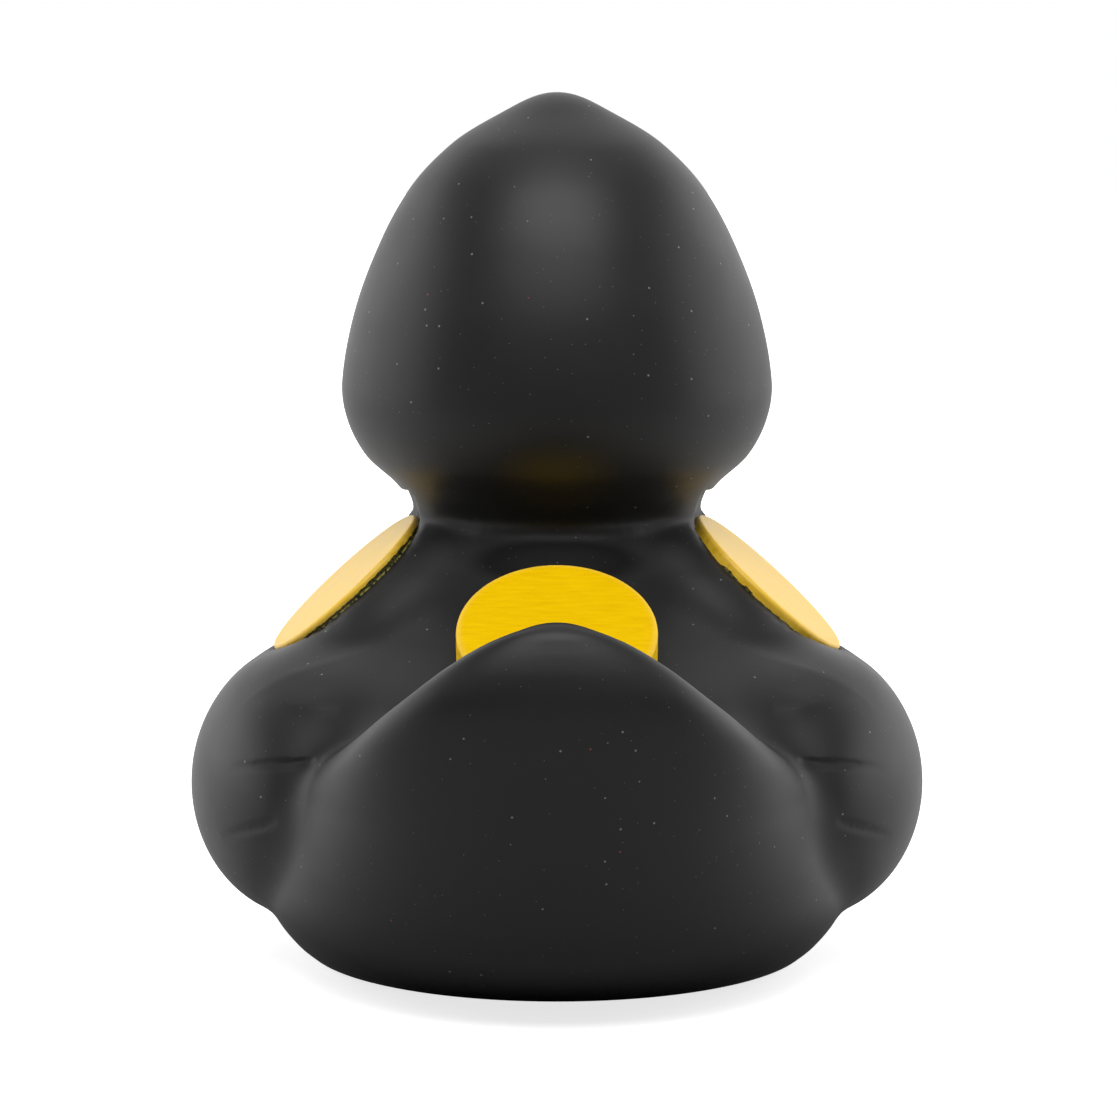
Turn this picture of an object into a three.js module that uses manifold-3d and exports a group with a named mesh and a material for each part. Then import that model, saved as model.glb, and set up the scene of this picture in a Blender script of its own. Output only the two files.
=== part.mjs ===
// Hollow moulded toy duck with a raised coin on its back and one on each shoulder.
// Millimetres, +Z up. The duck looks along -Y and its tail rises at +Y.
import * as THREE from "three";
import { mergeVertices } from "three/addons/utils/BufferGeometryUtils.js";
import Module from "manifold-3d";

const wasm = await Module();
wasm.setup();

// Skin
const WALL = 2.2;
const VENT_DIAMETER = 8;
const VENT_Y = -7;

// Head and neck
const HEAD_TOP = 84.6;
const HEAD_WIDTH = 42.6;
const HEAD_DEPTH = 42;
const HEAD_Y = -8.8;
const NECK_Z = 43.4;
const NECK_WIDTH = 27.4;
const NECK_DEPTH = 26;
const NECK_Y = -8.2;

// Chest
const CHEST_Z = 17;
const CHEST_WIDTH = 57.6;
const CHEST_FRONT = -37.5;
const CHEST_REAR = 28;

// Hull and tail
const BASE_WIDTH = 48.6;
const BASE_FRONT = -27.5;
const BASE_REAR = 21.5;
const HULL_Z = 8;
const HULL_WIDTH = 58.6;
const HULL_FRONT = -33.5;
const HULL_REAR = 37;
const TAIL_TOP = 39.5;
const TAIL_REAR = 43.3;
const TAIL_TIP_Y = 39.9;

// Wings
const WING_SPAN = 71.8;
const WING_BULGE = 11.6;
const WING_LENGTH = 44;
const WING_HEIGHT = 27.2;
const WING_Y = -2;
const WING_Z = 17.6;

// Feather grooves, measured from the middle of the wing
const GROOVE_RADIUS = 1.1;
const GROOVE_DEPTH = 0.55;
const GROOVE_OUTER = 9.5;
const GROOVE_FALL = 4.1;
const UPPER_GROOVE_INNER = -2.8;
const UPPER_GROOVE_RISE = 6.6;
const LOWER_GROOVE_INNER = 1.7;
const LOWER_GROOVE_RISE = 0.4;

// Beak
const BEAK_TIP_Y = -44;
const BEAK_LENGTH = 26;
const BEAK_WIDTH = 21;
const BEAK_Z = 54;
const UPPER_BILL_HEIGHT = 9;
const LOWER_BILL_WIDTH = 17.6;
const LOWER_BILL_HEIGHT = 7.5;
const LOWER_BILL_SETBACK = 3;

// Coins
const COIN_DIAMETER = 19.2;
const BACK_COIN_RISE = 2.8;
const SHOULDER_COIN_RISE = 1;
const COIN_SINK = 3;
const COIN_RIM = 1.1;
const COIN_RECESS = 0.3;
const COIN_BEVEL = 0.25;
const BACK_COIN_Z = 33;
const SHOULDER_COIN_Z = 35.9;
const SHOULDER_COIN_TURN = 83.4;
const SHOULDER_PAD_DIAMETER = 21.6;
const SHOULDER_PAD_FOOT = 29;
const SHOULDER_PAD_HEIGHT = 6;

// Facets
const AROUND = 34;
const AROUND_INSIDE = 16;
const COIN_FACETS = 36;

const clamp = THREE.MathUtils.clamp;
const mix = THREE.MathUtils.lerp;

// A station is a level section: its height, half width, front and rear.
function station(z, halfWidth, front, rear) {
  return { z, halfWidth, centre: (front + rear) / 2, halfDepth: (rear - front) / 2 };
}

// Smooth sections between stations. Squares are blended, so that a closed end is round.
function sectionsThrough(stations) {
  const heights = stations.map((s) => s.z);
  const values = stations.flatMap((s) => [s.centre, s.halfWidth ** 2, s.halfDepth ** 2]);
  const curve = new THREE.CubicInterpolant(heights, values, 3, [0, 0, 0]);
  const bottom = heights[0];
  const top = heights[heights.length - 1];
  const at = (height) => {
    const z = clamp(height, bottom, top);
    const [centre, width2, depth2] = curve.evaluate(z);
    const halfWidth = Math.sqrt(Math.max(0, width2));
    const halfDepth = Math.sqrt(Math.max(0, depth2));
    return { z, centre, halfWidth, halfDepth };
  };
  return { at, bottom, top };
}

// Lower hull and tail: a flat base that swells out, then sweeps back and up to the tail tip.
const baseToHull = [
  [0, 0, 0],
  [0.12, 0.14, 0.25],
  [0.35, 0.4, 0.62],
  [0.65, 0.76, 0.9],
  [1, 1, 1],
];
const hullToTail = [
  [0.13, 0.99, 0.01, 0.27],
  [0.229, 0.952, 0.082, 0.437],
  [0.317, 0.901, 0.218, 0.556],
  [0.384, 0.853, 0.356, 0.635],
  [0.46, 0.788, 0.548, 0.714],
  [0.521, 0.741, 0.685, 0.778],
  [0.584, 0.683, 0.779, 0.841],
  [0.689, 0.567, 0.854, 0.937],
  [0.778, 0.457, 0.898, 0.984],
  [0.851, 0.362, 0.931, 0.96],
  [0.902, 0.283, 0.95, 0.897],
  [0.94, 0.212, 0.963, 0.81],
  [0.975, 0.123, 0.98, 0.683],
  [1, 0, 1, 0.46],
];
const hull = sectionsThrough([
  ...baseToHull.map(([rise, width, length]) =>
    station(
      rise * HULL_Z,
      mix(BASE_WIDTH, HULL_WIDTH, width) / 2,
      mix(BASE_FRONT, HULL_FRONT, length),
      mix(BASE_REAR, HULL_REAR, length),
    ),
  ),
  ...hullToTail.map(([rise, width, front, rear]) =>
    station(
      mix(HULL_Z, TAIL_TOP, rise),
      (width * HULL_WIDTH) / 2,
      mix(HULL_FRONT, TAIL_TIP_Y, front),
      mix(HULL_REAR, TAIL_REAR, rear),
    ),
  ),
]);

// Chest, neck and head: a full chest, sloping shoulders, a tight neck and a drop-shaped head.
const chestToNeck = [
  [-0.5, 0.62, 0.55, 0.8],
  [-0.25, 0.9, 0.88, 0.95],
  [0, 1, 1, 1],
  [0.38, 0.88, 0.86, 0.91],
  [0.61, 0.645, 0.62, 0.51],
  [0.81, 0.25, 0.22, 0.15],
  [0.93, 0.05, 0.04, 0.03],
  [1, 0, 0, 0],
];
const neckToCheek = [
  [0.07, 0.33],
  [0.136, 0.71],
  [0.22, 0.94],
  [0.306, 1],
];
const cheekToCrown = [
  [0.473, 0.941],
  [0.646, 0.817],
  [0.774, 0.676],
  [0.876, 0.488],
  [0.947, 0.272],
  [1, 0],
];
const neckFront = NECK_Y - NECK_DEPTH / 2;
const neckRear = NECK_Y + NECK_DEPTH / 2;
const headFront = HEAD_Y - HEAD_DEPTH / 2;
const headRear = HEAD_Y + HEAD_DEPTH / 2;
const core = sectionsThrough([
  ...chestToNeck.map(([rise, width, front, rear]) =>
    station(
      mix(CHEST_Z, NECK_Z, rise),
      mix(NECK_WIDTH, CHEST_WIDTH, width) / 2,
      mix(neckFront, CHEST_FRONT, front),
      mix(neckRear, CHEST_REAR, rear),
    ),
  ),
  ...neckToCheek.map(([rise, swell]) =>
    station(
      mix(NECK_Z, HEAD_TOP, rise),
      mix(NECK_WIDTH, HEAD_WIDTH, swell) / 2,
      mix(neckFront, headFront, swell),
      mix(neckRear, headRear, swell),
    ),
  ),
  ...cheekToCrown.map(([rise, share]) =>
    station(
      mix(NECK_Z, HEAD_TOP, rise),
      (share * HEAD_WIDTH) / 2,
      HEAD_Y - (share * HEAD_DEPTH) / 2,
      HEAD_Y + (share * HEAD_DEPTH) / 2,
    ),
  ),
]);

// A section drawn in by the wall, square to the slope of the side.
function drawnIn(sections, height, wall) {
  const s = sections.at(height);
  const step = 0.05;
  const above = sections.at(height + step);
  const below = sections.at(height - step);
  const growth = above.halfWidth + above.halfDepth - below.halfWidth - below.halfDepth;
  const slope = growth / 2 / Math.max(above.z - below.z, 1e-6);
  const level = 1 / Math.hypot(1, slope);
  const z = s.z + wall * level * slope;
  const halfWidth = Math.max(s.halfWidth - wall * level, 0.02);
  const halfDepth = Math.max(s.halfDepth - wall * level, 0.02);
  return { z, centre: s.centre, halfWidth, halfDepth };
}

// A closed form through level sections, closer together towards both ends.
function formOf(sections, levels, around, wall) {
  const rings = [];
  for (let i = 0; i <= levels; i++) {
    const share = (1 - Math.cos((Math.PI * i) / levels)) / 2;
    const height = mix(sections.bottom, sections.top, share);
    const ring = wall ? drawnIn(sections, height, wall) : sections.at(height);
    if (wall) ring.z = Math.max(ring.z, WALL);
    const last = rings[rings.length - 1];
    if (!last || ring.z > last.z + 0.05) rings.push(ring);
  }
  const first = rings[0];
  const end = rings[rings.length - 1];
  const axis = (r) => ({ z: r.z, centre: r.centre, halfWidth: 0, halfDepth: 0 });
  const all = end.halfWidth > 0 ? [axis(first), ...rings, axis(end)] : [axis(first), ...rings];
  const outline = all.map((r) => new THREE.Vector2(r.halfWidth > 0 ? 1 : 0, r.z));
  const geometry = new THREE.LatheGeometry(outline, around);
  const p = geometry.attributes.position;
  for (let i = 0; i < p.count; i++) {
    const r = all[i % all.length];
    p.setXYZ(i, p.getX(i) * r.halfWidth, r.centre - p.getZ(i) * r.halfDepth, r.z);
  }
  return geometry;
}

// An egg-shaped form, turned by Euler angles in degrees.
function eggOf(size, place, turn, facets) {
  const [tilt, roll, yaw] = turn.map(THREE.MathUtils.degToRad);
  return new THREE.SphereGeometry(0.5, facets, Math.round(facets * 0.6))
    .rotateX(Math.PI / 2)
    .scale(...size)
    .rotateX(tilt)
    .rotateY(roll)
    .rotateZ(yaw)
    .translate(...place);
}

function solidOf(geometry) {
  geometry.deleteAttribute("normal");
  geometry.deleteAttribute("uv");
  const g = mergeVertices(geometry, 1e-4);
  const mesh = new wasm.Mesh({
    numProp: 3,
    vertProperties: g.attributes.position.array,
    triVerts: new Uint32Array(g.index.array),
  });
  return new wasm.Manifold(mesh);
}

// The place and outward direction on the core at a height and a turn from the back.
function seatOnCore(height, turn) {
  const angle = THREE.MathUtils.degToRad(turn);
  const spot = (z, a) => {
    const s = core.at(z);
    return new THREE.Vector3(
      Math.sin(a) * s.halfWidth,
      s.centre + Math.cos(a) * s.halfDepth,
      z,
    );
  };
  const place = spot(height, angle);
  const up = spot(height + 0.5, angle).sub(spot(height - 0.5, angle));
  const across = spot(height, angle + 0.02).sub(spot(height, angle - 0.02));
  const outward = up.cross(across).normalize();
  return { place, outward };
}

// A round form about the outward direction of a seat, from an outline of radius and rise.
function turnedOn(seat, outline) {
  const points = outline.map(([radius, rise]) => new THREE.Vector2(radius, rise));
  const turn = new THREE.Quaternion().setFromUnitVectors(
    new THREE.Vector3(0, 1, 0),
    seat.outward,
  );
  const geometry = new THREE.LatheGeometry(points, COIN_FACETS);
  return geometry.applyQuaternion(turn).translate(...seat.place.toArray());
}

// A coin with a bevelled edge and a shallow sunk field, its foot inside the skin.
function coinOn(seat, rise) {
  const r = COIN_DIAMETER / 2;
  return turnedOn(seat, [
    [0, -COIN_SINK],
    [r, -COIN_SINK],
    [r, rise - COIN_BEVEL],
    [r - COIN_BEVEL, rise],
    [r - COIN_RIM, rise],
    [r - COIN_RIM - COIN_RECESS, rise - COIN_RECESS],
    [0, rise - COIN_RECESS],
  ]);
}

// The low flared pad that a shoulder coin stands on, its flat top at the seat.
function padUnder(seat) {
  return turnedOn(seat, [
    [0, -SHOULDER_PAD_HEIGHT],
    [SHOULDER_PAD_FOOT / 2, -SHOULDER_PAD_HEIGHT],
    [SHOULDER_PAD_DIAMETER / 2, 0],
    [0, 0],
  ]);
}

// Wings: a rounded bulge on each side.
const sides = [1, -1];
const wingX = WING_SPAN / 2 - WING_BULGE;
function wingBulge(side, wall, facets) {
  const size = [2 * WING_BULGE, WING_LENGTH, WING_HEIGHT].map((full) => full - 2 * wall);
  return solidOf(eggOf(size, [side * wingX, WING_Y, WING_Z], [0, 0, 0], facets));
}

// A groove across the rear of a wing, deepest beside the tail and running out along the flank.
function wingGroove(side, inner, rise) {
  const points = [];
  const steps = 6;
  for (let i = 0; i <= steps; i++) {
    const t = i / steps;
    const out = mix(inner, GROOVE_OUTER, t) / WING_BULGE;
    const up = (rise - GROOVE_FALL * t ** 1.6) / (WING_HEIGHT / 2);
    const rear = Math.sqrt(Math.max(0, 1 - out ** 2 - up ** 2));
    const half = new THREE.Vector3(WING_BULGE, WING_LENGTH / 2, WING_HEIGHT / 2);
    const spot = new THREE.Vector3(out, rear, up);
    const outward = spot.clone().divide(half).normalize();
    const lift = GROOVE_RADIUS - GROOVE_DEPTH * (1 - t);
    const point = spot.multiply(half).addScaledVector(outward, lift);
    points.push(new THREE.Vector3(side * (wingX + point.x), WING_Y + point.y, WING_Z + point.z));
  }
  const round = new THREE.Shape().absarc(0, 0, GROOVE_RADIUS, 0, 2 * Math.PI);
  const extrudePath = new THREE.CatmullRomCurve3(points);
  const settings = { steps: 14, curveSegments: 6, bevelEnabled: false, extrudePath };
  return solidOf(new THREE.ExtrudeGeometry(round, settings));
}
const grooves = sides.flatMap((side) => [
  wingGroove(side, UPPER_GROOVE_INNER, UPPER_GROOVE_RISE),
  wingGroove(side, LOWER_GROOVE_INNER, LOWER_GROOVE_RISE),
]);

// Beak: a broad upper bill over a shorter lower one, both rooted inside the face.
function bill(width, height, tipY, z, tilt) {
  const size = [width, BEAK_LENGTH, height];
  return solidOf(eggOf(size, [0, tipY + BEAK_LENGTH / 2, z], [tilt, 0, 0], 22));
}
const upperBill = bill(BEAK_WIDTH, UPPER_BILL_HEIGHT, BEAK_TIP_Y, BEAK_Z, -6);
const lowerBill = bill(
  LOWER_BILL_WIDTH,
  LOWER_BILL_HEIGHT,
  BEAK_TIP_Y + LOWER_BILL_SETBACK,
  BEAK_Z - UPPER_BILL_HEIGHT * 0.36,
  2,
);

// Inside: the same forms drawn in by the wall, and a vent through the base.
const inside = wasm.Manifold.union([
  solidOf(formOf(hull, 11, AROUND_INSIDE, WALL)),
  solidOf(formOf(core, 18, AROUND_INSIDE, WALL)),
  ...sides.map((side) => wingBulge(side, WALL, 12)),
]);
const vent = new THREE.CylinderGeometry(VENT_DIAMETER / 2, VENT_DIAMETER / 2, 8 * WALL, 32);
vent.rotateX(Math.PI / 2).translate(0, VENT_Y, 0);

// Seats of the coins, and the whole skin in one moulding.
const backSeat = seatOnCore(BACK_COIN_Z, 0);
const shoulderSeats = sides.map((side) => seatOnCore(SHOULDER_COIN_Z, side * SHOULDER_COIN_TURN));
const skin = wasm.Manifold.union([
  solidOf(formOf(hull, 21, AROUND, 0)),
  solidOf(formOf(core, 32, AROUND, 0)),
  ...sides.map((side) => wingBulge(side, 0, 26)),
  ...shoulderSeats.map((seat) => solidOf(padUnder(seat))),
  upperBill,
  lowerBill,
]).subtract(wasm.Manifold.union(grooves));
const coins = [
  coinOn(backSeat, BACK_COIN_RISE),
  ...shoulderSeats.map((seat) => coinOn(seat, SHOULDER_COIN_RISE)),
].map(solidOf);
const duck = skin.subtract(inside).add(wasm.Manifold.union(coins)).subtract(solidOf(vent));

// One closed mesh, standing on the floor with its length centred on the origin.
function meshOf(solid, name, material) {
  const m = solid.getMesh();
  const box = solid.boundingBox();
  const geometry = new THREE.BufferGeometry()
    .setAttribute("position", new THREE.BufferAttribute(m.vertProperties, 3))
    .setIndex(new THREE.BufferAttribute(m.triVerts, 1))
    .translate(0, -(box.min[1] + box.max[1]) / 2, -box.min[2]);
  geometry.computeVertexNormals();
  const mesh = new THREE.Mesh(geometry, material);
  mesh.name = name;
  return mesh;
}

const vinyl = new THREE.MeshStandardMaterial({ color: 0x2a2a2b, roughness: 0.5, metalness: 0 });
const group = new THREE.Group();
group.name = "rubber_duck";
group.add(meshOf(duck, "duck_shell", vinyl));
export default group;
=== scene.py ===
import math

import bmesh
import bpy
import numpy as np
from mathutils import Matrix, Vector


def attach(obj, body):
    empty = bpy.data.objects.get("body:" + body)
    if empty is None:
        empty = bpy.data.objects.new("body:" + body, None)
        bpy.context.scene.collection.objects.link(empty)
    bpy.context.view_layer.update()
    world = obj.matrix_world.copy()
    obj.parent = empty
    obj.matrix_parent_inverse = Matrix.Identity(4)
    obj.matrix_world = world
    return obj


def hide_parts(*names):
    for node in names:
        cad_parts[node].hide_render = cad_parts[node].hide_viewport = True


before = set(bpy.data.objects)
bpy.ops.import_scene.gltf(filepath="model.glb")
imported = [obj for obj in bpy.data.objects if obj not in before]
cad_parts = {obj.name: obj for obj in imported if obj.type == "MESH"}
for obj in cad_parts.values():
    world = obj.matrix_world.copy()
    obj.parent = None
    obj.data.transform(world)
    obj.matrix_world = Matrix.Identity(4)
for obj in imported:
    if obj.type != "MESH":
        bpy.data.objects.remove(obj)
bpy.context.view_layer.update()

scene = bpy.context.scene

# Millimetres to metres, and the step that centres the duck's length on the origin
MM = 0.001
SHIFT_Y = 0.168

# Level sections: height, half width, front and rear, in millimetres
HULL_AND_TAIL = [
    (0.0, 24.3, -27.5, 21.5),
    (1.0, 25.0, -29.0, 25.4),
    (2.8, 26.3, -31.2, 31.1),
    (5.2, 27.8, -32.9, 35.4),
    (8.0, 29.0, -33.5, 37.0),
    (12.1, 28.8, -32.8, 38.7),
    (15.2, 27.7, -28.5, 39.75),
    (18.0, 26.1, -20.5, 40.5),
    (20.1, 24.5, -12.0, 41.0),
    (22.5, 22.5, 0.0, 41.5),
    (24.4, 20.9, 9.0, 41.95),
    (26.4, 19.25, 17.0, 42.4),
    (29.7, 16.4, 27.0, 42.85),
    (32.5, 13.4, 32.2, 42.85),
    (34.8, 10.6, 34.4, 42.4),
    (36.4, 8.3, 35.8, 41.85),
    (37.6, 6.2, 36.8, 41.3),
    (38.7, 3.6, 38.0, 40.65),
    (39.5, 0.0, 39.4, 39.4),
]
CHEST_NECK_AND_HEAD = [
    (3.8, 23.1, -30.2, 23.4),
    (10.4, 27.3, -35.5, 26.8),
    (17.0, 28.8, -37.5, 28.0),
    (27.0, 27.0, -35.2, 25.9),
    (33.1, 23.4, -31.3, 16.6),
    (38.4, 17.5, -24.8, 8.3),
    (41.6, 14.45, -21.9, 5.5),
    (43.4, 13.7, -21.2, 4.8),
    (46.3, 16.2, -24.0, 7.2),
    (49.0, 19.1, -27.3, 10.0),
    (52.5, 20.85, -29.3, 11.8),
    (56.0, 21.3, -29.8, 12.2),
    (62.9, 20.05, -28.6, 11.0),
    (70.0, 17.4, -26.0, 8.4),
    (75.3, 14.4, -23.0, 5.4),
    (79.5, 10.4, -19.1, 1.5),
    (82.4, 5.8, -14.5, -3.1),
    (84.6, 0.0, -8.8, -8.8),
]
WING_CENTRE = (24.3, 2.0, 17.7)
WING_HALF_WIDTH = 11.6
WING_HALF_HEIGHT = 13.4
WING_REACH_BACK = 18.0
WING_REACH_FORWARD = 26.0
WING_POINT = 1.7
SHOULDER_PAD_RADIUS = 11.0
SHOULDER_PAD_DEPTH = 12.0
UPPER_BILL = ((0.0, -31.0, 54.0), (10.5, 13.0, 4.5), -6.0)
LOWER_BILL = ((0.0, -28.0, 50.8), (8.8, 13.0, 3.75), 2.0)

# Where the back coin's paint is smeared on the skin beside its foot
BACK_COIN_SMEAR = (9.9, 19.5, 31.4)

# Painted shade: a band of lower gloss across the foot of the neck, just above the back coin, darkening
# it under the head
PAINTED_SHADE_BAND_CENTRE = (0.0, 6.5, 40.2)
PAINTED_SHADE_BAND_RADII = (11.0, 5.0, 2.6)

# Feather edges on the left wing: three places, reach above and below, depth, and share of run-in
FEATHER_EDGES = [
    (((23.0, 19.1, 23.2), (26.8, 17.7, 22.6), (31.6, 13.9, 21.4)), 0.5, 1.0, 0.45, 0.2),
    (((26.6, 19.4, 17.3), (29.3, 17.1, 16.1), (32.4, 12.4, 14.4)), 0.5, 1.0, 0.45, 0.35),
    (((20.6, 16.2, 27.3), (24.9, 14.4, 27.5), (29.6, 10.8, 27.6)), 3.0, 1.6, -0.24, 0.4),
]

# How a feather edge fades out along its length and falls off to its sides
EDGE_FADE_OUT = 0.7
EDGE_FALL = 1.4

# The part of the skin that holds the feather edges, and the band beside them with finer facets
EDGE_ZONE_LEAST_SIDE = 17.0
EDGE_ZONE_LEAST_REAR = 3.0
EDGE_ZONE_HEIGHTS = (8.0, 34.0)
EDGE_ZONE_SKIN = 4.0
FINER_BAND = 1.6

# How softly the forms run into each other, in millimetres
PAD_BLEND = 5.0
WING_BLEND_AT_SHOULDER = 1.6
WING_BLEND_AT_REAR = 6.0
WING_BLEND_STARTS = 2.0
WING_BLEND_RUN = 8.0
HULL_BLEND_LOW = 0.8
HULL_BLEND_HIGH = 2.2
HULL_BLEND_STARTS = 6.0
HULL_BLEND_RUN = 8.0
COIN_SEAT_BLEND = 0.6
BASE_EDGE_BLEND = 0.8
BILL_BLEND = 0.5

# Coins, vent and eyes
COIN_RADIUS = 9.6
COIN_EDGE = 0.45
COIN_FOOT = 3.5
COIN_SEAT_GAP = 0.3
COIN_SEAT_SLOPE = 2.0
COIN_SEAT_HEADROOM = 2.5
BACK_COIN = ((0.0, 18.2, 35.35), (0.0, 0.545, 0.839))
LEFT_COIN = ((21.15, -5.5, 36.57), (0.671, 0.043, 0.740))
RIGHT_COIN = ((-21.15, -5.5, 36.57), (-0.671, 0.043, 0.740))
SHOULDER_COIN_RISE = 0.95
VENT_RADIUS = 4.0
VENT_Y = -7.0
VENT_DEPTH = 6.0
BASE_BAND = 0.3
EYE_HEIGHT = 63.5
EYE_TURN = 36
EYE_WHITE = ((2.9, 3.7, 0.7), -0.15)
PUPIL = ((1.8, 2.4, 0.4), 0.33)

# Even facets of the skin and the beak
SKIN_STEP = 0.55
BEAK_STEP = 0.4


class Sections:
    """Smooth level sections through a list of stations; squares are blended so closed ends are round."""

    def __init__(self, stations, lean=0.0):
        """The middle of each section is blended, or its rear where lean is 1."""
        rows = np.array(stations)
        self.z = rows[:, 0]
        self.lean = lean
        depth = (rows[:, 3] - rows[:, 2]) / 2
        middle = (rows[:, 2] + rows[:, 3]) / 2
        aspect2 = rows[:, 1] ** 2 / np.maximum(depth, 1e-6) ** 2
        aspect2[-1] = aspect2[-2]
        self.value = np.stack([middle + lean * depth, rows[:, 1] ** 2, aspect2], 1)
        chord = np.diff(self.value, axis=0) / np.diff(self.z)[:, None]
        inner = (self.value[2:] - self.value[:-2]) / (self.z[2:] - self.z[:-2])[:, None]
        first = 1.5 * chord[:1] - 0.5 * inner[:1]
        last = 1.5 * chord[-1:] - 0.5 * inner[-1:]
        self.slope = np.concatenate([first, inner, last])

    def at(self, height):
        """Middle, squared half width and squared width to depth at each height, and their slopes."""
        z = np.clip(height, self.z[0], self.z[-1])
        i = np.clip(np.searchsorted(self.z, z) - 1, 0, len(self.z) - 2)
        h = (self.z[i + 1] - self.z[i])[:, None]
        t = (z - self.z[i])[:, None] / h
        a, b = self.value[i], self.value[i + 1]
        ma, mb = self.slope[i] * h, self.slope[i + 1] * h
        value = (
            (2 * t**3 - 3 * t**2 + 1) * a
            + (t**3 - 2 * t**2 + t) * ma
            + (3 * t**2 - 2 * t**3) * b
            + (t**3 - t**2) * mb
        )
        slope = (
            (6 * t**2 - 6 * t) * (a - b) + (3 * t**2 - 4 * t + 1) * ma + (3 * t**2 - 2 * t) * mb
        ) / h
        value += slope * (height - z)[:, None]
        width2, aspect2 = np.maximum(value[:, 1], 0.05), np.maximum(value[:, 2], 0.05)
        depth = np.sqrt(width2 / aspect2)
        thinning = (slope[:, 1] - depth**2 * slope[:, 2]) / (2 * depth * aspect2)
        value[:, 0] -= self.lean * depth
        slope[:, 0] -= self.lean * np.where(value[:, 1] > 0.05, thinning, 0)
        return value, slope

    def distance(self, p):
        value, slope = self.at(p[:, 2])
        middle, width2, aspect2 = value.T
        x, y = p[:, 0], p[:, 1] - middle
        level = x * x + aspect2 * y * y - width2
        gy = 2 * aspect2 * y
        gz = slope[:, 2] * y * y - gy * slope[:, 0] - slope[:, 1]
        return level / np.sqrt(4 * x * x + gy * gy + gz * gz + 0.01)


def egg_distance(p, centre, radii, frame_of_egg):
    q = (p - np.array(centre)) @ frame_of_egg
    radii = np.array(radii)
    near = np.linalg.norm(q / radii, axis=1)
    return near * (near - 1) / np.maximum(np.linalg.norm(q / radii**2, axis=1), 1e-6)


def wing_distance(p):
    """Distance from the left wing: round across, and drawn to a blunt point at the rear."""
    x, y, z = (p - np.array(WING_CENTRE)).T
    behind = y > 0
    power = np.where(behind, WING_POINT, 2.0)
    length = np.where(behind, WING_REACH_BACK, WING_REACH_FORWARD)
    across_wing = np.maximum(np.hypot(x / WING_HALF_WIDTH, z / WING_HALF_HEIGHT), 1e-3)
    along_wing = np.maximum(np.abs(y) / length, 1e-6)
    near = (across_wing**power + along_wing**power) ** (1 / power)
    steep_across = across_wing ** (power - 2) * np.hypot(x / WING_HALF_WIDTH**2, z / WING_HALF_HEIGHT**2)
    steep_along = along_wing ** (power - 1) / length
    return (near - 1) * near ** (power - 1) / np.maximum(np.hypot(steep_across, steep_along), 1e-6)


def blend_min(a, b, soft):
    h = np.maximum(soft - np.abs(a - b), 0) / soft
    return np.minimum(a, b) - h * h * soft / 4


def blend_max(a, b, soft):
    return -blend_min(-a, -b, soft)


def line_distance(p, points):
    """Distance to a smooth three-point line, how far along it the nearest place is, and its height."""
    a, b, c = (np.array(v) for v in points)
    best = np.full(len(p), 1e9)
    along = np.zeros(len(p))
    level = np.zeros(len(p))
    stops = np.linspace(0, 1, 25)
    curve = [(1 - t) ** 2 * a + 2 * t * (1 - t) * (2 * b - (a + c) / 2) + t * t * c for t in stops]
    for k in range(len(curve) - 1):
        step = curve[k + 1] - curve[k]
        s = np.clip(((p - curve[k]) @ step) / (step @ step), 0, 1)
        d = np.linalg.norm(p - curve[k] - s[:, None] * step, axis=1)
        closer = d < best
        best[closer] = d[closer]
        along[closer] = (k + s[closer]) / (len(curve) - 1)
        level[closer] = curve[k][2] + s[closer] * step[2]
    return best, along, level


hull = Sections(HULL_AND_TAIL, lean=1.0)
core = Sections(CHEST_NECK_AND_HEAD)


def across(normal):
    """Three directions for a disc: level across it, up its slope, and out of its face."""
    out = Vector(normal).normalized()
    level = Vector((0, 0, 1)).cross(out).normalized()
    return Matrix((level, out.cross(level), out)).transposed()


COINS = {
    "back_coin": (BACK_COIN, across(BACK_COIN[1])),
    "left_shoulder_coin": (LEFT_COIN, across(LEFT_COIN[1])),
    "right_shoulder_coin": (RIGHT_COIN, across(RIGHT_COIN[1])),
}


def smooth_skin_distance(p):
    """Distance from the duck's skin before its feather edges, in millimetres, negative inside."""
    body = core.distance(p)
    mirrored = p.copy()
    mirrored[:, 0] = np.abs(p[:, 0])
    (place, _), turn = COINS["left_shoulder_coin"]
    level, up, out = ((mirrored - np.array(place)) @ np.array(turn)).T
    around = np.hypot(level, up)
    pad = blend_max(around - SHOULDER_PAD_RADIUS, out + SHOULDER_COIN_RISE, PAD_BLEND)
    pad = np.maximum(pad, -out - SHOULDER_PAD_DEPTH)
    body = blend_min(body, pad, PAD_BLEND)
    wing = wing_distance(mirrored)
    rearward = np.clip((p[:, 1] - WING_BLEND_STARTS) / WING_BLEND_RUN, 0, 1)
    wing_blend = WING_BLEND_AT_SHOULDER + (WING_BLEND_AT_REAR - WING_BLEND_AT_SHOULDER) * rearward
    body = blend_min(body, wing, wing_blend)
    rise = np.clip((p[:, 2] - HULL_BLEND_STARTS) / HULL_BLEND_RUN, 0, 1)
    hull_blend = HULL_BLEND_LOW + (HULL_BLEND_HIGH - HULL_BLEND_LOW) * rise
    body = blend_min(body, hull.distance(p), hull_blend)
    beyond = np.maximum(around - COIN_RADIUS - COIN_SEAT_GAP, 0)
    seat = np.minimum(out + SHOULDER_COIN_RISE - COIN_SEAT_SLOPE * beyond, COIN_SEAT_HEADROOM - out)
    body = blend_max(body, seat, COIN_SEAT_BLEND)
    return blend_max(body, -p[:, 2], BASE_EDGE_BLEND)


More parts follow.
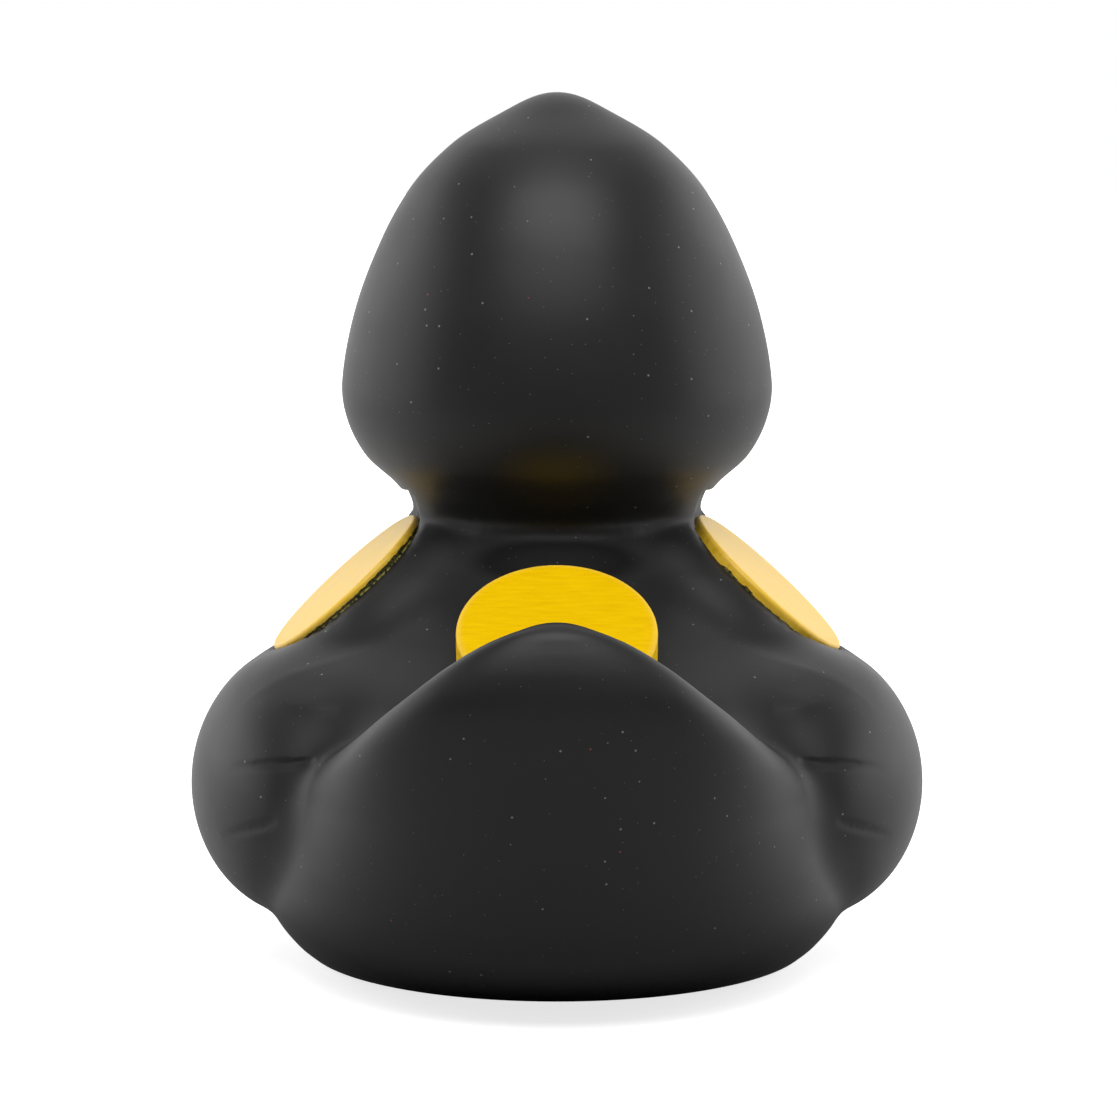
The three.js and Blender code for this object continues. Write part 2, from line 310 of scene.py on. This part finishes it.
def onto_skin(points):
    """The places on the smooth skin nearest to some points near it."""
    p = np.array(points, float)
    step = 0.02
    for _ in range(20):
        d = smooth_skin_distance(p)
        slope = np.stack(
            [(smooth_skin_distance(p + step * e) - d) / step for e in np.eye(3)],
            1,
        )
        p -= (d / np.maximum((slope**2).sum(1), 0.2))[:, None] * slope
    return p


EDGE_LINES = [(onto_skin(points), *profile) for points, *profile in FEATHER_EDGES]


def skin_distance(p):
    """Distance from the duck's outer skin with its feather edges."""
    body = smooth_skin_distance(p)
    mirrored = p.copy()
    mirrored[:, 0] = np.abs(p[:, 0])
    low, high = EDGE_ZONE_HEIGHTS
    zone = (mirrored[:, 0] > EDGE_ZONE_LEAST_SIDE) & (p[:, 1] > EDGE_ZONE_LEAST_REAR)
    zone &= (p[:, 2] > low) & (p[:, 2] < high) & (np.abs(body) < EDGE_ZONE_SKIN)
    near = np.flatnonzero(zone)
    for points, above, below, depth, run_in in EDGE_LINES:
        away, along, level = line_distance(mirrored[near], points)
        reach = np.where(mirrored[near, 2] > level, above, below)
        fade = np.clip(along / run_in, 0, 1) * np.clip((1 - along) / EDGE_FADE_OUT, 0, 1)
        body[near] += depth * fade * np.maximum(1 - away / reach, 0) ** EDGE_FALL
    return body


def settle(mesh, distance, rounds=6):
    """Moves each vertex of a mesh, in metres, onto the skin of a distance in millimetres."""
    p = np.empty(len(mesh.vertices) * 3)
    mesh.vertices.foreach_get("co", p)
    p = p.reshape(-1, 3) / MM
    p[:, 1] -= SHIFT_Y
    step = 0.02
    for _ in range(rounds):
        d = distance(p)
        slope = np.stack(
            [(distance(p + step * e) - distance(p - step * e)) / (2 * step) for e in np.eye(3)], 1
        )
        steep = np.maximum((slope**2).sum(1), 0.2)
        p -= np.clip(d / steep, -0.6, 0.6)[:, None] * slope
    p[:, 1] += SHIFT_Y
    mesh.vertices.foreach_set("co", (p * MM).ravel())
    mesh.update()


def stack(bm, sections, around=40, levels=30):
    """A closed form through level sections, drawn up ring by ring."""
    low, high = sections.z[0], sections.z[-1]
    ring = bmesh.ops.create_circle(bm, cap_ends=True, segments=around, radius=1)["verts"]
    unit = [v.co.copy() for v in ring]
    for n in range(levels):
        height = low + (high - low) * (1 - (1 - n / (levels - 1)) ** 1.3)
        (middle, width2, aspect2), _ = (a[0] for a in sections.at(np.array([height])))
        half_width = math.sqrt(max(width2, 0.02))
        half_depth = half_width / math.sqrt(aspect2)
        if n:
            edges = [e for e in bm.edges if e.verts[0] in set(ring) and e.verts[1] in set(ring)]
            made = bmesh.ops.extrude_edge_only(bm, edges=edges)["geom"]
            fresh = [g for g in made if isinstance(g, bmesh.types.BMVert)]
            nearest = {}
            for v in fresh:
                nearest[min(range(around), key=lambda k: (ring[k].co - v.co).length)] = v
            ring = [nearest[k] for k in range(around)]
        for v, u in zip(ring, unit):
            v.co = (u.x * half_width, middle + u.y * half_depth, height)
    bmesh.ops.contextual_create(bm, geom=ring)


def egg(bm, centre, radii, tilt=0.0, rings=24):
    turn = Matrix.Rotation(math.radians(tilt), 4, "X")
    place = Matrix.Translation(centre) @ turn @ Matrix.Diagonal((*radii, 1))
    bmesh.ops.create_uvsphere(bm, u_segments=2 * rings, v_segments=rings, radius=1, matrix=place)


def new_piece(name, bm, paint):
    """An object for a form drawn in millimetres, placed in the shared frame and riding on the duck."""
    bmesh.ops.transform(
        bm,
        matrix=Matrix.Scale(MM, 4) @ Matrix.Translation((0, SHIFT_Y, 0)),
        verts=bm.verts,
    )
    bmesh.ops.recalc_face_normals(bm, faces=bm.faces)
    mesh = bpy.data.meshes.new(name)
    bm.to_mesh(mesh)
    bm.free()
    mesh.materials.append(paint)
    mesh.polygons.foreach_set("use_smooth", [True] * len(mesh.polygons))
    piece = bpy.data.objects.new(name, mesh)
    scene.collection.objects.link(piece)
    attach(piece, "root")
    return piece


def remeshed(piece, step):
    """Joins overlapping forms into one even skin."""
    finish = piece.modifiers.new("one_skin", "REMESH")
    finish.mode = "VOXEL"
    finish.voxel_size = step * MM
    graph = bpy.context.evaluated_depsgraph_get()
    joined = bpy.data.meshes.new_from_object(piece.evaluated_get(graph))
    old = piece.data
    joined.name = old.name
    for paint in old.materials:
        if paint.name not in joined.materials:
            joined.materials.append(paint)
    piece.modifiers.clear()
    piece.data = joined
    bpy.data.meshes.remove(old)
    joined.polygons.foreach_set("use_smooth", [True] * len(joined.polygons))
    return joined


def relaxed(mesh, distance, times=2):
    """Evens out the skin's vertices, then puts them back on the form."""
    for _ in range(times):
        bm = bmesh.new()
        bm.from_mesh(mesh)
        bmesh.ops.smooth_vert(
            bm, verts=bm.verts, factor=0.5, use_axis_x=True, use_axis_y=True, use_axis_z=True
        )
        bm.to_mesh(mesh)
        bm.free()
        settle(mesh, distance, 3)


def finer_by_edges(mesh):
    """Halves the skin's facets beside the feather edges, so that their lips stay crisp."""
    p = np.empty(len(mesh.vertices) * 3)
    mesh.vertices.foreach_get("co", p)
    p = p.reshape(-1, 3) / MM - np.array((0, SHIFT_Y, 0))
    p[:, 0] = np.abs(p[:, 0])
    away = np.min([line_distance(p, points)[0] for points, *_ in EDGE_LINES], axis=0)
    bm = bmesh.new()
    bm.from_mesh(mesh)
    bm.verts.ensure_lookup_table()
    beside = [e for e in bm.edges if max(away[v.index] for v in e.verts) < FINER_BAND]
    bmesh.ops.subdivide_edges(bm, edges=beside, cuts=1, use_grid_fill=True)
    bm.to_mesh(mesh)
    bm.free()


def vent_cut(mesh):
    """Opens the round vent in the base and draws its wall up into the skin."""
    bm = bmesh.new()
    bm.from_mesh(mesh)
    middle = Vector((0, (VENT_Y + SHIFT_Y) * MM, 0))
    radius = VENT_RADIUS * MM
    inside = [
        f
        for f in bm.faces
        if f.calc_center_median().z < BASE_BAND * MM
        and (f.calc_center_median().xy - middle.xy).length < radius
    ]
    bmesh.ops.delete(bm, geom=inside, context="FACES")
    rim = [e for e in bm.edges if e.is_boundary]
    for v in {v for e in rim for v in e.verts}:
        out = (v.co.xy - middle.xy).normalized() * radius
        v.co = (middle.x + out.x, middle.y + out.y, 0.0)
    drawn = bmesh.ops.extrude_edge_only(bm, edges=rim)["geom"]
    top = [g for g in drawn if isinstance(g, bmesh.types.BMVert)]
    bmesh.ops.translate(bm, verts=top, vec=(0, 0, VENT_DEPTH * MM))
    lid = [g for g in drawn if isinstance(g, bmesh.types.BMEdge) and g.is_boundary]
    bmesh.ops.contextual_create(bm, geom=lid)
    bmesh.ops.recalc_face_normals(bm, faces=bm.faces)
    bm.to_mesh(mesh)
    bm.free()


# Materials
def material(name):
    made = bpy.data.materials.new(name)
    made.use_nodes = True
    tree = made.node_tree
    shader = tree.nodes["Principled BSDF"]
    return made, tree, shader


def node(tree, kind, **settings):
    made = tree.nodes.new(kind)
    for key, value in settings.items():
        setattr(made, key, value)
    return made


def ramp(tree, low, high, low_colour, high_colour):
    """A colour ramp from one colour to another between two values."""
    made = node(tree, "ShaderNodeValToRGB")
    first, last = made.color_ramp.elements
    first.position, last.position = low, high
    first.color, last.color = (*low_colour, 1), (*high_colour, 1)
    return made


def mixed(tree, share, under, over):
    """One colour over another by a share; each of the three is a socket or a colour."""
    made = node(tree, "ShaderNodeMix", data_type="RGBA")
    for socket, value in ((0, share), (6, under), (7, over)):
        if isinstance(value, tuple):
            made.inputs[socket].default_value = (*value, 1)
        else:
            tree.links.new(value, made.inputs[socket])
    return made.outputs[2]


def between(tree, value, low, high, from_share=0.0, to_share=1.0):
    """A value's place between two limits, clamped and smoothed."""
    made = node(tree, "ShaderNodeMapRange", interpolation_type="SMOOTHSTEP")
    made.inputs["From Min"].default_value = low
    made.inputs["From Max"].default_value = high
    made.inputs["To Min"].default_value = from_share
    made.inputs["To Max"].default_value = to_share
    tree.links.new(value, made.inputs["Value"])
    return made.outputs["Result"]


def worked(tree, operation, *values):
    """A sum of one or two values, each a socket or a number."""
    made = node(tree, "ShaderNodeMath", operation=operation)
    for socket, value in enumerate(values):
        if isinstance(value, (int, float)):
            made.inputs[socket].default_value = value
        else:
            tree.links.new(value, made.inputs[socket])
    return made.outputs["Value"]


def noise(tree, vector, scale, detail=2.0, stretch=None):
    """Noise over a place, drawn out along its axes if asked."""
    if stretch is not None:
        drawn = node(tree, "ShaderNodeVectorMath", operation="MULTIPLY")
        drawn.inputs[1].default_value = stretch
        tree.links.new(vector, drawn.inputs[0])
        vector = drawn.outputs["Vector"]
    made = node(tree, "ShaderNodeTexNoise")
    made.inputs["Scale"].default_value = scale
    made.inputs["Detail"].default_value = detail
    tree.links.new(vector, made.inputs["Vector"])
    return made.outputs["Fac"]


def bumped(tree, shader, height, strength, distance_mm):
    made = node(tree, "ShaderNodeBump")
    made.inputs["Strength"].default_value = strength
    made.inputs["Distance"].default_value = distance_mm * MM
    tree.links.new(height, made.inputs["Height"])
    tree.links.new(made.outputs["Normal"], shader.inputs["Normal"])


def specks(tree, vector, per_metre, radius, share):
    """A mask of small round specks in some of the cells of a scatter."""
    made = node(tree, "ShaderNodeTexVoronoi")
    made.inputs["Scale"].default_value = per_metre
    tree.links.new(vector, made.inputs["Vector"])
    parts = node(tree, "ShaderNodeSeparateColor")
    tree.links.new(made.outputs["Color"], parts.inputs["Color"])
    chosen = between(tree, parts.outputs["Red"], 1 - share, 1 - share + 0.01)
    dot = between(tree, made.outputs["Distance"], radius, radius * 0.6)
    return worked(tree, "MULTIPLY", chosen, dot), parts.outputs["Green"]


def smear(tree, vector, spot, reach_mm):
    """A soft ragged patch around one place, given in millimetres."""
    away = node(tree, "ShaderNodeVectorMath", operation="DISTANCE")
    away.inputs[1].default_value = (spot[0] * MM, (spot[1] + SHIFT_Y) * MM, spot[2] * MM)
    tree.links.new(vector, away.inputs[0])
    near = between(tree, away.outputs["Value"], reach_mm * MM, reach_mm * 0.25 * MM)
    ragged = between(tree, noise(tree, vector, 2600.0, 4.0), 0.4, 0.62)
    return worked(tree, "MULTIPLY", near, ragged)


def black_vinyl_material():
    made, tree, shader = material("black_vinyl")
    link = tree.links.new
    place = node(tree, "ShaderNodeTexCoord").outputs["Object"]
    cloud = noise(tree, place, 70.0, 3.0)
    tone = ramp(tree, 0.35, 0.7, (0.0048, 0.0048, 0.0050), (0.0068, 0.0068, 0.0072))
    link(cloud, tone.inputs["Fac"])
    dust, hue = specks(tree, place, 700.0, 0.09, 0.35)
    fine_dust, _ = specks(tree, place, 1500.0, 0.1, 0.3)
    dust_tone = ramp(tree, 0.86, 0.9, (0.22, 0.23, 0.24), (0.2, 0.05, 0.03))
    link(hue, dust_tone.inputs["Fac"])
    dusty = worked(tree, "MULTIPLY", dust, 0.75)
    colour = mixed(tree, dusty, tone.outputs["Color"], dust_tone.outputs["Color"])
    colour = mixed(tree, worked(tree, "MULTIPLY", fine_dust, 0.55), colour, (0.16, 0.165, 0.17))
    stain = smear(tree, place, BACK_COIN_SMEAR, 1.7)
    colour = mixed(tree, worked(tree, "MULTIPLY", stain, 0.75), colour, (0.42, 0.38, 0.12))
    link(colour, shader.inputs["Base Color"])
    rough = between(tree, cloud, 0.25, 0.75, 0.45, 0.53)
    link(rough, shader.inputs["Roughness"])
    grain = noise(tree, place, 2600.0, 3.0)
    waves = noise(tree, place, 260.0, 2.0)
    pits, _ = specks(tree, place, 600.0, 0.1, 0.12)
    height = worked(tree, "ADD", grain, worked(tree, "MULTIPLY", waves, 1.5))
    height = worked(tree, "SUBTRACT", height, worked(tree, "MULTIPLY", pits, 2.0))
    bumped(tree, shader, height, 0.12, 0.05)
    # Painted shade: gloss is lowered in a band at the foot of the neck, just above the back coin
    from_band = node(tree, "ShaderNodeVectorMath", operation="SUBTRACT")
    from_band.inputs[1].default_value = [v * MM for v in PAINTED_SHADE_BAND_CENTRE]
    link(place, from_band.inputs[0])
    over_band = node(tree, "ShaderNodeVectorMath", operation="DIVIDE")
    over_band.inputs[1].default_value = [v * MM for v in PAINTED_SHADE_BAND_RADII]
    link(from_band.outputs["Vector"], over_band.inputs[0])
    from_middle = node(tree, "ShaderNodeVectorMath", operation="LENGTH")
    link(over_band.outputs["Vector"], from_middle.inputs[0])
    shine = between(tree, from_middle.outputs["Value"], 0.6, 1.0, 0.12, 0.42)
    link(shine, shader.inputs["Specular IOR Level"])
    return made


# Coin paint: brushed on the face, with a ragged edge on the side and bare skin below it
def coin_paint_material(name, brush, thin, thick, reach, ragged, below, foot_line, sheen, drip=0.0):
    made, tree, shader = material(name)
    link = tree.links.new
    where = node(tree, "ShaderNodeAttribute", attribute_name="coin_place")
    place = where.outputs["Vector"]
    axes = node(tree, "ShaderNodeSeparateXYZ")
    link(place, axes.inputs["Vector"])
    across_coin, up_coin, height = axes.outputs
    depth = worked(tree, "MULTIPLY", height, -1.0)
    above = node(tree, "ShaderNodeAttribute", attribute_name="above_skin").outputs["Fac"]
    across2 = worked(tree, "POWER", across_coin, 2.0)
    up2 = worked(tree, "POWER", up_coin, 2.0)
    flat = worked(tree, "SQRT", worked(tree, "ADD", across2, up2))
    streaks = noise(tree, place, 1.0, 4.0, brush)
    blots = noise(tree, place, 0.55, 3.0)
    fine = noise(tree, place, 5.0, 3.0)

    # Face: warm yellow, thicker and thinner along the brush, with a painted highlight on the rounded
    # edge
    tone = ramp(tree, 0.3, 0.72, thin, thick)
    link(streaks, tone.inputs["Fac"])
    colour = mixed(tree, between(tree, blots, 0.55, 0.8, 0.0, 0.35), tone.outputs["Color"], thick)
    # Painted highlight: the rounded edge of the face is given a paler yellow
    outer = between(tree, flat, COIN_RADIUS - 0.75, COIN_RADIUS - 0.2)
    rim = worked(tree, "MULTIPLY", outer, between(tree, depth, 0.6, 0.2))
    colour = mixed(tree, worked(tree, "MULTIPLY", rim, 0.55), colour, (0.96, 0.60, 0.07))

    # Side: paint down to a ragged edge, bare or thinly smeared skin under it, and a line at the foot
    wander = worked(tree, "SUBTRACT", noise(tree, place, 1.3, 4.0), 0.5)
    edge = worked(tree, "ADD", worked(tree, "MULTIPLY", wander, ragged * 2), reach)
    if drip:
        edge = worked(tree, "ADD", edge, between(tree, up_coin, 4.6, 7.4, 0.0, drip))
    bare = between(tree, worked(tree, "SUBTRACT", depth, edge), 0.0, 0.12)
    patchy = between(tree, fine, 0.42, 0.68)
    colour_below = mixed(tree, patchy, below[0], below[1])
    colour = mixed(tree, bare, colour, colour_below)
    broken = between(tree, noise(tree, place, 1.9, 4.0), 0.44, 0.56)
    foot = worked(tree, "MULTIPLY", between(tree, above, 0.2, 0.05), broken)
    colour = mixed(tree, worked(tree, "MULTIPLY", foot, foot_line), colour, (0.55, 0.48, 0.10))
    link(colour, shader.inputs["Base Color"])

    # Brush marks, and fine milling marks just inside the rim
    turn = worked(tree, "ARCTAN2", up_coin, across_coin)
    mill = worked(tree, "SINE", worked(tree, "MULTIPLY", turn, 150.0))
    band_start = between(tree, flat, 0.86 * COIN_RADIUS, 0.9 * COIN_RADIUS)
    band_end = between(tree, flat, 0.975 * COIN_RADIUS, 0.95 * COIN_RADIUS)
    band = worked(tree, "MULTIPLY", band_start, band_end)
    mill = worked(tree, "MULTIPLY", worked(tree, "MULTIPLY", mill, band), 0.35)
    surface = worked(tree, "ADD", worked(tree, "MULTIPLY", streaks, 1.6), mill)
    surface = worked(tree, "ADD", surface, worked(tree, "MULTIPLY", fine, 0.35))
    bumped(tree, shader, surface, 0.42, 0.08)
    link(between(tree, streaks, 0.3, 0.7, 0.34, 0.46), shader.inputs["Roughness"])
    shader.inputs["Specular IOR Level"].default_value = sheen
    return made


def brushed_paint_material(name, dark, pale, roughness):
    """Hand-laid paint with faint brush tone, grain and gloss."""
    made, tree, shader = material(name)
    place = node(tree, "ShaderNodeTexCoord").outputs["Object"]
    streaks = noise(tree, place, 900.0, 4.0, (0.4, 1.0, 2.2))
    tone = ramp(tree, 0.3, 0.72, dark, pale)
    tree.links.new(streaks, tone.inputs["Fac"])
    tree.links.new(tone.outputs["Color"], shader.inputs["Base Color"])
    rough = between(tree, streaks, 0.3, 0.7, roughness, roughness + 0.1)
    tree.links.new(rough, shader.inputs["Roughness"])
    bumped(tree, shader, streaks, 0.25, 0.06)
    return made


BARE_SKIN = (0.008, 0.008, 0.008)
OLIVE_SMEAR = (0.075, 0.075, 0.008)
BROWN_SMEAR = (0.02, 0.017, 0.006)
black_vinyl = black_vinyl_material()
STREAKS_LEVEL = (0.3, 2.2, 1.0)
STREAKS_DOWN_SLOPE = (2.4, 0.25, 1.0)
COIN_PAINT = {
    "back_coin": coin_paint_material(
        "back_coin_paint",
        brush=STREAKS_LEVEL,
        thin=(0.9, 0.54, 0.0003),
        thick=(1.0, 0.63, 0.0006),
        reach=3.4,
        ragged=0.7,
        below=((0.5, 0.42, 0.03), (0.62, 0.5, 0.06)),
        foot_line=0.5,
        sheen=0.04,
    ),
    # Painted shade: the shoulder coins' yellow is darker than the back coin's, to tone down the stronger
    # light on them
    "left_shoulder_coin": coin_paint_material(
        "left_coin_paint",
        brush=STREAKS_DOWN_SLOPE,
        thin=(0.74, 0.43, 0.01),
        thick=(0.92, 0.6, 0.06),
        reach=0.55,
        ragged=0.22,
        below=(BARE_SKIN, OLIVE_SMEAR),
        foot_line=0.8,
        sheen=0.4,
    ),
    "right_shoulder_coin": coin_paint_material(
        "right_coin_paint",
        brush=STREAKS_DOWN_SLOPE,
        thin=(0.74, 0.43, 0.01),
        thick=(0.92, 0.6, 0.05),
        reach=0.9,
        ragged=0.3,
        below=(BARE_SKIN, BROWN_SMEAR),
        foot_line=0.25,
        sheen=0.4,
        drip=1.3,
    ),
}
beak_paint = brushed_paint_material("beak_paint", (0.74, 0.255, 0.006), (0.84, 0.31, 0.012), 0.36)
eye_white = brushed_paint_material("eye_white", (0.72, 0.72, 0.70), (0.80, 0.80, 0.78), 0.24)
eye_black = brushed_paint_material("eye_black", (0.008, 0.008, 0.009), (0.014, 0.014, 0.015), 0.18)

# Skin: chest, neck, head, hull, tail and wings in one moulding
bm = bmesh.new()
stack(bm, hull)
stack(bm, core)
for side in (1, -1):
    x, y, z = WING_CENTRE
    middle = (side * x, y + (WING_REACH_BACK - WING_REACH_FORWARD) / 2, z)
    egg(bm, middle, (WING_HALF_WIDTH, (WING_REACH_BACK + WING_REACH_FORWARD) / 2, WING_HALF_HEIGHT))
skin = new_piece("duck_skin", bm, black_vinyl)
skin_mesh = remeshed(skin, SKIN_STEP)
settle(skin_mesh, skin_distance)
relaxed(skin_mesh, skin_distance, 2)
finer_by_edges(skin_mesh)
settle(skin_mesh, skin_distance, 3)
vent_cut(skin_mesh)
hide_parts("duck_shell")


# Coins: discs with a rounded edge, their feet inside the skin
def coin(name):
    (place, _), turn = COINS[name]
    bm = bmesh.new()
    outline = [(COIN_RADIUS * k / 12, 0.0) for k in range(12)]
    for k in range(7):
        a = math.radians(90 - 15 * k)
        r = COIN_RADIUS - COIN_EDGE + COIN_EDGE * math.cos(a)
        outline.append((r, COIN_EDGE * (math.sin(a) - 1)))
    outline += [(COIN_RADIUS, -COIN_EDGE - COIN_FOOT * k / 14) for k in range(1, 15)]
    outline.append((0.0, -COIN_EDGE - COIN_FOOT))
    points = [bm.verts.new((r, 0, h)) for r, h in outline]
    edges = [bm.edges.new(pair) for pair in zip(points, points[1:])]
    bmesh.ops.spin(
        bm,
        geom=points + edges,
        cent=(0, 0, 0),
        axis=(0, 0, 1),
        angle=2 * math.pi,
        steps=128,
        use_merge=True,
    )
    bmesh.ops.remove_doubles(bm, verts=bm.verts, dist=1e-4)
    local = bm.verts.layers.float_vector.new("coin_place")
    for v in bm.verts:
        v[local] = v.co
    bmesh.ops.transform(bm, matrix=Matrix.Translation(place) @ turn.to_4x4(), verts=bm.verts)
    above = bm.verts.layers.float.new("above_skin")
    spots = np.array([v.co for v in bm.verts])
    for v, height in zip(bm.verts, skin_distance(spots)):
        v[above] = height
    piece = new_piece(name, bm, COIN_PAINT[name])


for coin_name in COINS:
    coin(coin_name)


# Beak: two bills
def beak_distance(p):
    tilts = [np.array(Matrix.Rotation(math.radians(b[2]), 3, "X")) for b in (UPPER_BILL, LOWER_BILL)]
    upper = egg_distance(p, UPPER_BILL[0], UPPER_BILL[1], tilts[0])
    lower = egg_distance(p, LOWER_BILL[0], LOWER_BILL[1], tilts[1])
    return blend_min(upper, lower, BILL_BLEND)


bm = bmesh.new()
for centre, radii, tilt in (UPPER_BILL, LOWER_BILL):
    egg(bm, centre, radii, tilt)
beak = new_piece("beak", bm, beak_paint)
settle(remeshed(beak, BEAK_STEP), beak_distance)


# Eyes: low painted domes on the sides of the face
def eye(name, side, radii, lift, paint):
    turn = math.radians(EYE_TURN)
    (middle, width2, aspect2), _ = (a[0] for a in core.at(np.array([EYE_HEIGHT])))
    out_to_side = math.sin(turn) * math.sqrt(width2)
    out_to_front = math.cos(turn) * math.sqrt(width2 / aspect2)
    seat = Vector((side * out_to_side, middle - out_to_front, EYE_HEIGHT))
    probe = np.array([seat]) + np.vstack([np.zeros(3), np.eye(3) * 0.05])
    d = core.distance(probe)
    out = Vector(d[1:] - d[0]).normalized()
    bm = bmesh.new()
    place = Matrix.Translation(seat + out * lift) @ across(out).to_4x4() @ Matrix.Diagonal((*radii, 1))
    bmesh.ops.create_uvsphere(bm, u_segments=40, v_segments=20, radius=1, matrix=place)
    piece = new_piece(name, bm, paint)


for side, word in ((1, "left"), (-1, "right")):
    eye(word + "_eye", side, *EYE_WHITE, eye_white)
    eye(word + "_pupil", side, *PUPIL, eye_black)

# Floor: white to the camera, and grey in the duck's skin, with painted shade close round the duck and a
# painted glow towards its front and sides that only reflections and bounced light see
FLOOR_HALF = 0.9
bm = bmesh.new()
bmesh.ops.create_grid(bm, x_segments=1, y_segments=1, size=FLOOR_HALF)
floor_mesh = bpy.data.meshes.new("floor")
bm.to_mesh(floor_mesh)
bm.free()
floor = bpy.data.objects.new("floor", floor_mesh)
scene.collection.objects.link(floor)
floor_paint, tree, shader = material("floor_paint")
rays = node(tree, "ShaderNodeLightPath")
spot = node(tree, "ShaderNodeTexCoord").outputs["Object"]
cloth = noise(tree, spot, 40.0, 3.0)
pale = ramp(tree, 0.3, 0.7, (0.79, 0.79, 0.79), (0.82, 0.82, 0.82))
tree.links.new(cloth, pale.inputs["Fac"])
away = node(tree, "ShaderNodeVectorMath", operation="LENGTH")
tree.links.new(spot, away.inputs[0])
# Painted shade: the floor seen in reflections is darker within a few centimetres of the duck
painted_shade_near_duck = between(tree, away.outputs["Value"], 0.026, 0.05)
grey = mixed(tree, painted_shade_near_duck, (0.12, 0.12, 0.12), (0.49, 0.49, 0.49))
seen = mixed(tree, rays.outputs["Is Camera Ray"], grey, pale.outputs["Color"])
tree.links.new(seen, shader.inputs["Base Color"])
shader.inputs["Roughness"].default_value = 0.9
shader.inputs["Emission Color"].default_value = (1, 1, 1, 1)
axes = node(tree, "ShaderNodeSeparateXYZ")
tree.links.new(spot, axes.inputs["Vector"])
aside = worked(tree, "MULTIPLY", worked(tree, "ABSOLUTE", axes.outputs["X"]), 0.5)
# Painted glow: the floor in front of and beside the duck gives off light for reflections and bounced
# light, though it is no lamp
painted_glow = between(tree, worked(tree, "SUBTRACT", axes.outputs["Y"], aside), 0.02, -0.08, 0.0, 0.6)
unseen = worked(tree, "MULTIPLY", worked(tree, "SUBTRACT", 1.0, rays.outputs["Is Camera Ray"]), painted_glow)
shown = worked(tree, "MULTIPLY", rays.outputs["Is Camera Ray"], 0.75)
tree.links.new(worked(tree, "ADD", unseen, shown), shader.inputs["Emission Strength"])
floor_mesh.materials.append(floor_paint)

# Sky: white to the camera, and dim elsewhere
world = bpy.data.worlds.new("studio")
scene.world = world
world.use_nodes = True
tree = world.node_tree
sky = tree.nodes["Background"]
rays = node(tree, "ShaderNodeLightPath")
sky.inputs["Color"].default_value = (1, 1, 1, 1)
tree.links.new(between(tree, rays.outputs["Is Camera Ray"], 0.0, 1.0, 0.1, 1.0), sky.inputs["Strength"])


def softbox(name, place, aim, size, brightness):
    """A flat light of even brightness, where 1 looks white."""
    data = bpy.data.lights.new(name, "AREA")
    data.shape = "RECTANGLE"
    data.size, data.size_y = size
    data.energy = brightness * math.pi * size[0] * size[1]
    made = bpy.data.objects.new(name, data)
    made.location = place
    made.rotation_euler = (Vector(aim) - Vector(place)).to_track_quat("-Z", "Y").to_euler()
    scene.collection.objects.link(made)


# Soft lights: place, aim and size in metres, and brightness
MIDDLE = (0, 0, 0.04)
SOFTBOXES = {
    "top_softbox": ((0, 0.39, 0.74), MIDDLE, (0.75, 0.6), 4.0),
    "rear_softbox": ((0, -0.5, 0.8), MIDDLE, (0.9, 0.5), 1.45),
    "left_panel": ((0.85, -0.25, 0.31), MIDDLE, (1.0, 0.62), 1.9),
    "right_panel": ((-0.85, -0.25, 0.31), MIDDLE, (1.0, 0.62), 2.05),
    "backdrop": ((0, -1.0, 0.45), (0, 0, 0.45), (2.4, 0.9), 1.3),
}
for name, light in SOFTBOXES.items():
    softbox(name, *light)

# Camera: behind the duck and a little above it
CAMERA_AIM = Vector((-0.00015, 0.0, 0.0395))
CAMERA_RISE = math.radians(8.5)
CAMERA_AWAY = 0.55
lens = bpy.data.cameras.new("camera")
lens.sensor_width = 36
lens.lens = 36 * CAMERA_AWAY / 0.10951
lens.clip_start, lens.clip_end = 0.01, 20
camera = bpy.data.objects.new("camera", lens)
back = Vector((0, math.cos(CAMERA_RISE), math.sin(CAMERA_RISE)))
camera.location = CAMERA_AIM + back * CAMERA_AWAY
camera.rotation_euler = (-back).to_track_quat("-Z", "Y").to_euler()
scene.collection.objects.link(camera)
scene.camera = camera
scene.view_settings.view_transform = "Standard"
